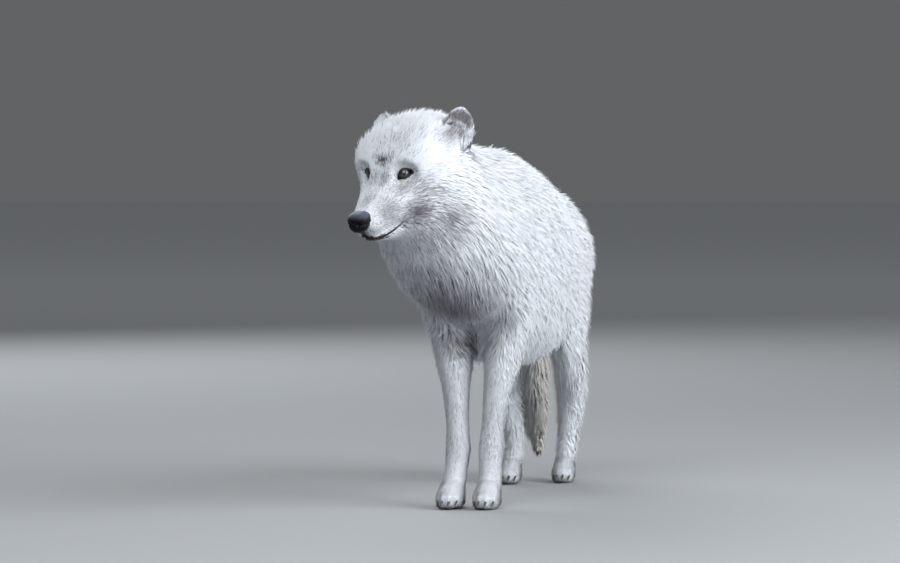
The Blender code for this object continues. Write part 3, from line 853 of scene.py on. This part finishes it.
PATCH = 0.003  # of the map, for one tuft
BARE_LIP = 0.0032  # no hair grows nearer to the mouth line
MOST_LOCKS = 49_000  # in one region
STRAY_SHARE, STRAY_HEIGHT = 0.07, 0.008  # how many locks stand out, and how far at most
ROOT_DEPTH, FLOOR_GAP = 0.0010, 0.0006  # under the skin, and over the floor


def sown_roots(faces, rng, most):
    """Even random roots on these faces: every field of the skin there, and the map places."""
    gap = skin_fields["spacing"][skin_tris[faces], 0].mean(1)
    chance = face_area[faces] / gap**2
    count = int(2.6 * chance.sum())
    pick = rng.choice(len(faces), count, p=chance / chance.sum())
    r1, r2 = np.sqrt(rng.random(count)), rng.random(count)
    share = np.stack((1 - r1, r1 * (1 - r2), r1 * r2), -1)[..., None]
    corners = skin_tris[faces][pick]
    roots = {name: (field[corners] * share).sum(1) for name, field in skin_fields.items()}
    roots["map"] = (unwrapped(faces)[pick] * share).sum(1)
    keep = (rim_distance(roots["place"]) > 1.0) & (roots["from_lips"][:, 0] > BARE_LIP)
    keep &= rng.random(count) > 0.85 * roots["in_ear"][:, 0]  # the ear's inside is nearly bare
    keep = np.flatnonzero(keep)
    chosen = spread(roots["place"][keep], 0.80 * roots["spacing"][keep, 0], range(len(keep)))
    chosen = keep[chosen[:most]]
    return {name: values[chosen] for name, values in roots.items()}


def walked(start, up, ahead, stride):
    """A step over the skin. Where the body ends, as at the tail's tip, the step runs on."""
    aim = start + ahead * stride
    place, new_up, new_ahead = nearest_on_skin(aim)
    over = aim - place
    beyond = ramp(np.linalg.norm(over, axis=1, keepdims=True), 0.006, 0.022)
    up = unit(new_up + (up - new_up) * beyond)
    ahead = unit(new_ahead + (ahead - new_ahead) * beyond)
    return place + over * beyond * 0.8, up, ahead


def grow_coat(name, faces, locks, clump, lean, seed, messy, fringe, flecked, lift=0.0):
    """Makes one region's coat. locks stand in each tuft, clump is how wide a clump is, lean how
    far its tufts draw together, fringe how high its stray locks stand out, and flecked how far
    its grey gathers in single locks. lift turns its shading toward the sky."""
    rng = np.random.default_rng(seed)
    roots = sown_roots(faces, rng, MOST_LOCKS // locks)
    tufts = len(roots["place"])

    # clumps, each with its own turn, height, length and tone
    heads = spread(roots["place"], np.full(tufts, clump), range(tufts))
    tree = search_tree(roots["place"][heads])
    mine = np.array([tree.find(p)[1] for p in roots["place"]])
    turn, high, long, tone = (rng.normal(size=(4, len(heads)))[:, mine]) * messy

    # each tuft's middle lock walks over the skin in two steps
    up0 = unit(roots["up"])
    way0 = unit(roots["way"] - up0 * dot(roots["way"], up0))
    turn = (0.08 * turn + 0.06 * rng.normal(size=tufts) * messy)[:, None]
    way0 = way0 * np.cos(turn) + np.cross(way0, up0) * np.sin(turn)
    stride = roots["length"] * (1 + 0.10 * long[:, None]) / 2
    place1, up1, way1 = walked(roots["place"], up0, way0, stride)
    way1 = unit(way0 + way1)
    place2, up2, _ = walked(place1, up1, way1, stride)
    place1 = place1 + (place1[heads[mine]] - place1) * 0.35 * lean
    place2 = place2 + (place2[heads[mine]] - place2) * lean

    k = np.repeat(np.arange(tufts), locks)  # which tuft each lock belongs to
    n = len(k)

    def some(low, high):
        return rng.uniform(low, high, n)[:, None]

    angle, out = some(0, 2 * np.pi), np.sqrt(some(0, 1)) * 0.62 * roots["spacing"][k]
    side0 = np.cross(way0, up0)
    off = (way0[k] * np.cos(angle) + side0[k] * np.sin(angle)) * out
    coat = roots["depth"][k] * (1 + 0.05 * high[k, None])
    stray = np.minimum((1.1 * fringe - 1) * coat, STRAY_HEIGHT)
    stray = stray * (rng.random((n, 1)) < STRAY_SHARE)
    root = roots["place"][k] + off - up0[k] * ROOT_DEPTH
    mid = place1[k] + off * 0.9 + up1[k] * coat * some(0.58, 0.72)
    tip = place2[k] + off * 0.6 + up2[k] * (coat * some(0.66, 0.86) + stray)
    # under the belly the tips hang down
    tip[:, 2:] -= 0.7 * coat * ramp(-up2[k, 2:], 0.0, 0.6) * some(0.1, 1.0)
    swing = rng.normal(size=n)[:, None] * roots["length"][k] * 0.045 * messy
    tip = mid + (tip - mid) * some(0.62, 1.12) + np.cross(way1, up1)[k] * swing
    wide = roots["width"][k] * some(0.7, 1.3)

    along = unit(tip - root)
    up = unit(up1[k] - along * dot(up1[k], along))
    across = np.cross(along, up)
    rise = dot(mid - root, up)  # a lock is thin but never flat: its middle stands off a little
    bend = np.where(rise < 0, -1, 1) * np.clip(np.abs(rise), 0.14 * wide, 0.5 * wide)
    mid += up * (bend - rise)
    roll = rng.normal(size=n)[:, None] * 0.18
    half = (across * np.cos(roll) + up * np.sin(roll)) * wide / 2
    points = np.stack((root, mid + half, mid - half, tip), 1)
    soft = 0.14 * across
    normals = unit(np.stack((up0[k], up1[k] + soft, up1[k] - soft, up2[k]), 1))
    normals = unit(normals + (0, 0, lift))
    ribs = points[:, 1:] - points[:, :1]
    inside_out = dot(np.cross(ribs[:, 0], ribs[:, 1]), ribs[:, 2])[:, 0] > 0
    for of_locks in (points, normals):
        of_locks[inside_out, 1:3] = of_locks[inside_out, 2:0:-1]

    column = np.tile(np.arange(locks), tufts)[:, None, None]
    above = np.flatnonzero(points[..., 2].min(1) > FLOOR_GAP)
    points, normals, k, column = points[above], normals[above], k[above], column[above]
    n = len(k)

    shape = np.array(((0, 1, 2), (3, 2, 1), (0, 3, 1), (0, 2, 3)))
    tris = (np.arange(n)[:, None, None] * 4 + shape).reshape(-1)
    mesh = bpy.data.meshes.new(name)
    mesh.vertices.add(4 * n)
    mesh.vertices.foreach_set("co", points.astype(np.float32).ravel())
    mesh.loops.add(12 * n)
    mesh.loops.foreach_set("vertex_index", tris.astype(np.int32))
    mesh.polygons.add(4 * n)
    mesh.polygons.foreach_set("loop_start", np.arange(0, 12 * n, 3, dtype=np.int32))
    mesh.polygons.foreach_set("use_smooth", np.ones(4 * n, bool))
    mesh.update()
    layer = mesh.uv_layers.new(name="OFBake")
    spot = np.array(((0.5, 0.0), (1.0, 0.5), (0.0, 0.5), (0.5, 1.0)))
    column = column + spot[None, :, :1]
    patch = np.concatenate((column / locks, np.repeat(spot[None, :, 1:], n, 0)), -1) - 0.5
    place = roots["map"][k][:, None] + PATCH * patch
    layer.data.foreach_set("uv", place.reshape(-1, 2)[tris].astype(np.float32).ravel())

    marks_and_shade = roots["marks_and_shade"][k]
    fleck = rng.random(n)
    even, strong = marks_and_shade[:, 0] * (1 - 0.5 * flecked), 0.3 + 0.5 * flecked
    marks_and_shade[:, 0] = np.where(fleck < marks_and_shade[:, 0], np.maximum(marks_and_shade[:, 0], strong), even)
    fleck = rng.random(n)
    marks_and_shade[:, 2] = np.where(fleck < marks_and_shade[:, 2], np.maximum(marks_and_shade[:, 2], 0.8), 0.2 * marks_and_shade[:, 2])
    write_colour(mesh, "markings_and_painted_light", np.repeat(marks_and_shade, 4, 0))
    tone = np.clip(0.5 + 0.12 * tone[k] + rng.normal(size=n) * 0.20, 0, 1)
    strand = np.stack((np.tile((0, 0.5, 0.5, 1), n), np.repeat(tone, 4), np.zeros(4 * n)), -1)
    write_colour(mesh, "strand", strand)
    mesh.normals_split_custom_set_from_vertices(normals.reshape(-1, 3).tolist())
    mesh.materials.append(hair_finish)
    piece = show(name, mesh)
    area = face_area[faces].sum()
    print(f"{name}: {area:.3f} m2, {tufts} tufts, {n} locks, {4 * n} triangles")
    return piece


# %% [markdown]
# ## The coat, region by region
#
# The regions follow the carved pieces. The ears and paws have the smallest clumps, and the neck,
# the rump and the tail the largest.

# %% Grow every region
face_node = owner[skin_tris[:, 0]]
face_middle = in_head(skin_co[skin_tris].mean(1))
head_like = on_head[skin_tris[:, 0]]
front = head_like & (face_middle[:, 1] < 0.035) & (face_middle[:, 2] > -0.125)


def faces_of(*parts):
    ids = [i for i, nd in enumerate(FLESH) if nd in parts or nd.split("_", 1)[-1] in parts]
    return np.flatnonzero(np.isin(face_node, ids))


trunk = [middle(n) for n in ("neck", "chest", "belly", "rump")]
spine = np.interp(skin_co[skin_tris[:, 0], 1], [m.y for m in trunk], [m.x for m in trunk])
on_left = skin_co[skin_tris[:, 0], 0] > spine


def half_of(part, left):
    faces = faces_of(part)
    return faces[on_left[faces] == left]


REGIONS = (
    # name, faces of the skin, locks to a tuft, clump, lean, seed, how messy, fringe, flecked,
    # and the lift of the shading
    ("coat_face", np.flatnonzero(front), 4, 0.0055, 0.26, 11, 0.9, 1.4, 1.0),
    ("coat_crown_and_ruff", np.flatnonzero(head_like & ~front), 4, 0.009, 0.12, 12, 0.9, 3.2, 0.6),
    ("coat_ear_left", faces_of("left_ear"), 4, 0.005, 0.20, 13, 0.8, 2.2, 0.1, 0.2),
    ("coat_ear_right", faces_of("right_ear"), 4, 0.005, 0.20, 24, 0.8, 2.6, 0.1, 1.2),
    ("coat_neck_left", half_of("neck", True), 5, 0.011, 0.06, 14, 0.55, 1.5, 0.2),
    ("coat_neck_right", half_of("neck", False), 5, 0.011, 0.06, 15, 0.55, 1.5, 0.2),
    ("coat_chest_left", half_of("chest", True), 4, 0.010, 0.07, 16, 0.6, 1.4, 0.2),
    ("coat_chest_right", half_of("chest", False), 4, 0.010, 0.07, 17, 0.6, 1.4, 0.2),
    ("coat_belly", faces_of("belly"), 4, 0.010, 0.07, 18, 0.6, 1.7, 0.2),
    ("coat_rump", faces_of("rump"), 5, 0.011, 0.09, 19, 0.7, 1.7, 0.2),
    ("coat_tail", faces_of("tail"), 5, 0.011, 0.26, 20, 0.9, 1.5, 0.3),
    ("coat_forelegs", faces_of(*FORELEG_PARTS), 4, 0.007, 0.14, 21, 0.6, 1.6, 0.8),
    ("coat_hind_legs", faces_of("thigh", "shank", "hock"), 4, 0.009, 0.16, 22, 0.7, 2.0, 0.3),
    ("coat_paws", faces_of("forepaw", "hind_paw"), 4, 0.005, 0.26, 23, 0.8, 1.6, 0.6),
)
coats = [grow_coat(*region) for region in REGIONS]
print("triangles in the coat:", sum(len(c.data.polygons) for c in coats))

# %% [markdown]
# ## Eyes
#
# Each eyeball is a sphere with a bulging cornea. It carries its own place as seen along its look,
# so one material can paint pupil, iris and the dark rim of the iris as rings round that axis. A
# clear wet coat gives the shine.

# %% Eyeballs
IRIS = 0.0066  # radius
PUPIL = 0.0026


def eye_frame(side):
    """Across, above and ahead of one eye as the columns of a placing matrix."""
    flip = np.array((side, 1, 1))
    axes = [Vector(a * flip) for a in eye_axes]
    place = Matrix(axes).transposed().to_4x4()
    place.translation = Vector(np.array(EYE_MIDDLE) * flip)
    return HEAD @ place


def put_at_eye(bm, side):
    """Moves a shape to its eye. On the right it is mirrored, so its faces are turned over."""
    bm.transform(eye_frame(side))
    if side < 0:
        bmesh.ops.reverse_faces(bm, faces=bm.faces)


def eyeball(name, side):
    bm = bmesh.new()
    bmesh.ops.create_uvsphere(bm, u_segments=64, v_segments=48, radius=EYE_RADIUS)
    seen = []
    for v in bm.verts:
        seen.append(v.co / EYE_RADIUS)
        off = math.hypot(v.co.x, v.co.y)
        if v.co.z > 0:
            v.co.z += 0.0011 * float(1 - ramp(off, 0.2 * IRIS, 1.25 * IRIS))
    put_at_eye(bm, side)
    mesh = mesh_of(name, bm)
    layer = mesh.attributes.new("seen", "FLOAT_VECTOR", "POINT")
    layer.data.foreach_set("vector", np.array(seen, np.float32).ravel())
    mesh.materials.append(eye_finish)
    return show(name, mesh)


eye_finish, tree, shader = new_material(
    "wet eye", Roughness=0.22, Coat_Weight=0.5, Coat_Roughness=0.03
)
place = node(tree, "ShaderNodeAttribute", attribute_name="seen")
flat = vector_maths(tree, "MULTIPLY", place.outputs["Vector"])
flat.inputs[1].default_value = (1, 1, 0)
reach = vector_maths(tree, "LENGTH", flat.outputs[0])
spoke = vector_maths(tree, "NORMALIZE", flat.outputs[0])
fibres = node(tree, "ShaderNodeTexNoise", Scale=9.0, Detail=4.0)
tree.links.new(spoke.outputs[0], fibres.inputs["Vector"])
rings = node(tree, "ShaderNodeValToRGB")
edge = IRIS / EYE_RADIUS
stops = (
    (PUPIL / EYE_RADIUS, (0.003, 0.003, 0.003)),
    (PUPIL / EYE_RADIUS + 0.03, (0.034, 0.032, 0.024)),
    (0.62 * edge, (0.075, 0.070, 0.052)),
    (0.90 * edge, (0.040, 0.036, 0.028)),
    (edge, (0.006, 0.005, 0.005)),
    (edge + 0.10, (0.010, 0.008, 0.008)),
)
ramp_stops = rings.color_ramp.elements
ramp_stops[0].position, ramp_stops[1].position = stops[0][0], stops[-1][0]
for position, colour in stops[1:-1]:
    ramp_stops.new(position)
for stop, (position, colour) in zip(ramp_stops, stops):
    stop.position, stop.color = position, (*colour, 1)
tree.links.new(reach.outputs["Value"], rings.inputs[0])
lit = node(tree, "ShaderNodeMapRange", To_Min=0.45, To_Max=1.5)
tree.links.new(fibres.outputs["Fac"], lit.inputs["Value"])
eye_colour = mixed(tree, 1.0, rings.outputs[0], grey_of(tree, lit.outputs[0]), "MULTIPLY")
tree.links.new(eye_colour, shader.inputs["Base Color"])

left_eyeball, right_eyeball = eyeball("eyeball_left", 1), eyeball("eyeball_right", -1)

# %% [markdown]
# ## Eyelids
#
# The lids are black, hairless rims that close round the eyeball as an almond. Each is a band of
# rings. The first ring is sunk into the eyeball, the next ones lie over eyeball and skin, and the
# last one sinks under the skin, so the hair seems to grow up to the rim.

# %% Eyelid rims
def add_ring(bm, segments, place, before):
    """Adds a ring, puts each of its corners where place says and joins it to the ring before."""
    ring = bmesh.ops.create_circle(bm, segments=segments, radius=1)["verts"]
    for v in ring:
        v.co = place(v.co.x, v.co.y)
    edges = list({e for v in ring for e in v.link_edges})
    if before is not None:
        bmesh.ops.bridge_loops(bm, edges=before + edges)
    return edges


LID_HALF_WIDTH, LID_TOP, LID_BOTTOM = 0.0150, 0.0064, 0.0060
bare, tree, shader = new_material(
    "black bare skin", Roughness=0.42, Specular_IOR_Level=0.5, Base_Color=(0.012, 0.011, 0.013, 1)
)
grain = on_object(tree, "ShaderNodeTexNoise", Scale=1400.0, Detail=3.0)
bumped(tree, shader, grain.outputs["Fac"], Strength=0.5, Distance=0.0003)


def eyelid(name, side):
    place = eye_frame(side)
    look = (place.to_3x3() @ Vector((0, 0, 1))).normalized()

    def drape(a, b):
        """How far ahead of the eye's middle the skin or the eyeball is."""
        start = place @ Vector((a, b, 0.05))
        hit = skin_surface.ray_cast(start, -look, 0.06)[0]
        flesh = 0.05 - (start - hit).length if hit else 0.0
        ball = math.sqrt(max(0.0, EYE_RADIUS**2 - a * a - b * b))
        return max(flesh, ball)

    # how far out each ring is, and how high over what is under it
    outs = (0.0, 0.0, 0.0009, 0.0022, 0.0036, 0.0052)
    highs = (-0.0012, 0.0009, 0.0015, 0.0014, 0.0006, -0.0016)
    bm = bmesh.new()
    before = None
    for out, high in zip(outs, highs):

        def almond(c, s):
            tall = LID_TOP if s > 0 else LID_BOTTOM
            duct = max(0.0, -c) ** 8  # the inner corner runs out down toward the nose
            a = c * (LID_HALF_WIDTH + 1.2 * out) - 0.0075 * duct
            b = math.copysign(abs(s) ** 1.15, s) * (tall + 0.9 * out)
            b -= 0.0038 * abs(c) ** 3 + 0.0075 * duct
            return a, b, drape(a, b) + high

        before = add_ring(bm, 56, almond, before)
    bmesh.ops.smooth_vert(bm, verts=bm.verts, factor=0.4, use_axis_z=True)
    bmesh.ops.recalc_face_normals(bm, faces=bm.faces)
    outward = sum(f.normal.z * f.calc_area() for f in bm.faces)
    if outward < 0:
        bmesh.ops.reverse_faces(bm, faces=bm.faces)
    put_at_eye(bm, side)
    mesh = mesh_of(name, bm)
    mesh.materials.append(bare)
    piece = show(name, mesh)
    finer = piece.modifiers.new("smooth", "SUBSURF")
    finer.levels = finer.render_levels = 1
    return piece


left_lid, right_lid = eyelid("eyelid_left", 1), eyelid("eyelid_right", -1)
print("lids:", len(left_lid.data.polygons), "faces each")

# %% [markdown]
# ## Nose
#
# The pad is a rounded block, wider above, with a fine pebbled surface. Its nostrils are hollows
# that run out into a slit at each side, and a groove divides it down the middle. Its top is a
# blue-grey painted highlight, a painted reflection of the sky, over black below.

# %% Nose pad
def nose_pad():
    bm = bmesh.new()
    bmesh.ops.create_uvsphere(bm, u_segments=96, v_segments=64, radius=1)
    bm.transform(Matrix.Rotation(math.radians(90), 4, "X"))
    for v in bm.verts:
        x, y, z = (math.copysign(abs(c) ** 0.8, c) for c in v.co)
        wide = NOSE_REACH[0] * (1 + 0.18 * z)
        v.co = (x * wide, y * NOSE_REACH[1], z * NOSE_REACH[2])
        v.co.y += 0.12 * v.co.z
    bm.normal_update()
    moves = []
    for v in bm.verts:
        x, y, z = abs(v.co.x), v.co.y, v.co.z
        hole = math.exp(-(((x - 0.0094) / 0.0036) ** 2) - ((z - 0.0005) / 0.0038) ** 2) * (y < 0)
        slit_z = 0.0005 - 0.28 * max(0, x - 0.0094)
        slit = math.exp(-(((z - slit_z) / 0.0014) ** 2)) * float(ramp(x, 0.008, 0.011))
        slit *= y < 0.006
        groove = math.exp(-((x / 0.0008) ** 2)) * float(1 - ramp(z, -0.002, 0.006)) * (y < 0)
        dip = math.exp(-((x / 0.006) ** 2)) * float(ramp(z, 0.008, 0.017))
        moves.append(-v.normal * (0.0056 * hole + 0.0016 * slit + 0.0013 * groove + 0.0008 * dip))
    for v, move in zip(bm.verts, moves):
        v.co += move
    bm.transform(HEAD @ Matrix.Translation(Vector(NOSE_MIDDLE)))
    return show("nose_pad", mesh_of("nose_pad", bm))


nose = nose_pad()
nose_places = in_head(numbers(nose.data.vertices, "co", np.float32, 3)) - NOSE_MIDDLE
# Painted highlight: the top of the pad is blue-grey, a painted reflection of the sky; below it is
# black.
nose_top_sheen = ramp(nose_places[:, 2] + 0.15 * nose_places[:, 1], 0.004, 0.019)
write_colour(nose.data, "markings_and_painted_light", np.repeat(nose_top_sheen[:, None], 3, 1))
nose_finish, tree, shader = new_material(
    "wet black nose", Roughness=0.42, Specular_IOR_Level=0.14
)
top_sheen = node(tree, "ShaderNodeAttribute", attribute_name="markings_and_painted_light")
nose_colour = mixed(tree, top_sheen.outputs["Fac"], (0.0025, 0.0025, 0.0035), (0.082, 0.088, 0.130))
tree.links.new(nose_colour, shader.inputs["Base Color"])
pebbles = on_object(tree, "ShaderNodeTexVoronoi", Scale=850.0)
bumped(tree, shader, pebbles.outputs["Distance"], Strength=0.55, Distance=0.0004, invert=True)
nose.data.materials.append(nose_finish)

# %% [markdown]
# ## Claws
#
# A claw is a blunt, slightly hooked cone of dark horn. Every carved claw says where one starts and
# where its tip is, so the same ring-by-ring cone is laid into each of those boxes.

# %% Claws
CLAWS = [f"{s}_{end}_claw_{i}" for s in SIDES for end in ("fore", "hind") for i in range(1, 5)]
bm = bmesh.new()
for claw in CLAWS:
    low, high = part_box(claw)
    rings = []
    for t in np.linspace(0, 1, 9):
        y = high.y + (low.y - high.y) * t
        z = high.z - 0.0042 - (high.z - low.z - 0.0060) * t**1.9
        wide = (high.x - low.x) / 2 * math.sqrt(max(0.012, 1 - t**2.2))
        tall = 1.25 * wide

        def hoop(c, s):
            return (low.x + high.x) / 2 + c * wide, y, z + s * tall

        rings.append(add_ring(bm, 12, hoop, rings[-1] if rings else None))
        if t in (0, 1):
            bmesh.ops.edgeloop_fill(bm, edges=rings[-1])
bmesh.ops.recalc_face_normals(bm, faces=bm.faces)
claws = show("claws", mesh_of("claws", bm))
claw_finish, tree, shader = new_material("dark horn", Roughness=0.38)
streaks = on_object(tree, "ShaderNodeTexNoise", Scale=260.0, Detail=3.0)
horn = mixed(tree, streaks.outputs["Fac"], (0.020, 0.017, 0.015), (0.11, 0.09, 0.07))
tree.links.new(horn, shader.inputs["Base Color"])
claws.data.materials.append(claw_finish)
print("claws:", len(CLAWS))

# %% [markdown]
# ## Putting the pieces together
#
# The model is still, so everything rides on its one body. The skin stands for all the carved
# flesh, and the other pieces stand for the eyes, the nose and the claws.

# %% Ride and replace
for piece in (skin, left_eyeball, right_eyeball, left_lid, right_lid, nose, claws, *coats):
    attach(piece, "root")
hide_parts(*FLESH)
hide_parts("left_eye")
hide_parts("right_eye")
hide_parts("nose")
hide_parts(*CLAWS)

# %% [markdown]
# ## Studio
#
# A pale floor, three broad soft lights (from the left side, the front and behind) and a little
# light from all round, as on an overcast day. The camera stands eight metres away with a long lens,
# about as high as the wolf's withers.

# %% Floor and light
bm = bmesh.new()
bmesh.ops.create_circle(bm, segments=96, radius=40, cap_ends=True)
floor = show("floor", mesh_of("floor", bm, smooth=False))
floor_finish, tree, shader = new_material("pale floor", Roughness=0.9)
where = node(tree, "ShaderNodeTexCoord")
far = vector_maths(tree, "LENGTH", where.outputs["Object"])
fade = node(
    tree, "ShaderNodeMapRange", interpolation_type="SMOOTHSTEP", From_Min=2.0, From_Max=14.0
)
tree.links.new(far.outputs["Value"], fade.inputs["Value"])
pale = mixed(tree, fade.outputs[0], (0.30, 0.31, 0.32), (0.92, 0.94, 0.96))
tree.links.new(pale, shader.inputs["Base Color"])
floor.data.materials.append(floor_finish)

world = bpy.data.worlds.new("studio")
world.use_nodes = True
world.node_tree.nodes["Background"].inputs[0].default_value = (0.92, 0.96, 1.0, 1)
world.node_tree.nodes["Background"].inputs[1].default_value = 0.13
bpy.context.scene.world = world
LIGHT_SIZE, LIGHT_COLOUR = 4.5, (0.95, 0.975, 1.0)


def soft_light(name, place, aim, power):
    lamp = bpy.data.lights.new(name, "AREA")
    lamp.size, lamp.energy, lamp.color = LIGHT_SIZE, power, LIGHT_COLOUR
    light = show(name, lamp)
    light.location = place
    light.rotation_euler = (Vector(aim) - Vector(place)).to_track_quat("-Z", "Y").to_euler()


soft_light("side", (4.4, -0.8, 2.4), (0, 0, 0.4), 375)
soft_light("front", (0.3, -4.6, 4.0), (0, -0.2, 0.4), 285)
soft_light("back", (-3.0, 3.8, 3.8), (0, 0, 0.5), 200)
bpy.context.scene.view_settings.view_transform = "Standard"

# %% Camera
CAMERA_TURN, CAMERA_RISE, CAMERA_AWAY = math.radians(14), math.radians(2), 8.0
AIM = Vector((-0.0226, -0.2139, 0.4505))
back = Vector(
    (
        math.sin(CAMERA_TURN) * math.cos(CAMERA_RISE),
        -math.cos(CAMERA_TURN) * math.cos(CAMERA_RISE),
        math.sin(CAMERA_RISE),
    )
)
lens = bpy.data.cameras.new("camera")
lens.lens = 160
lens.sensor_width = 36
camera = show("camera", lens)
camera.location = AIM + back * CAMERA_AWAY
camera.rotation_euler = back.to_track_quat("Z", "Y").to_euler()
bpy.context.scene.camera = camera
print("camera at", [round(c, 3) for c in camera.location])
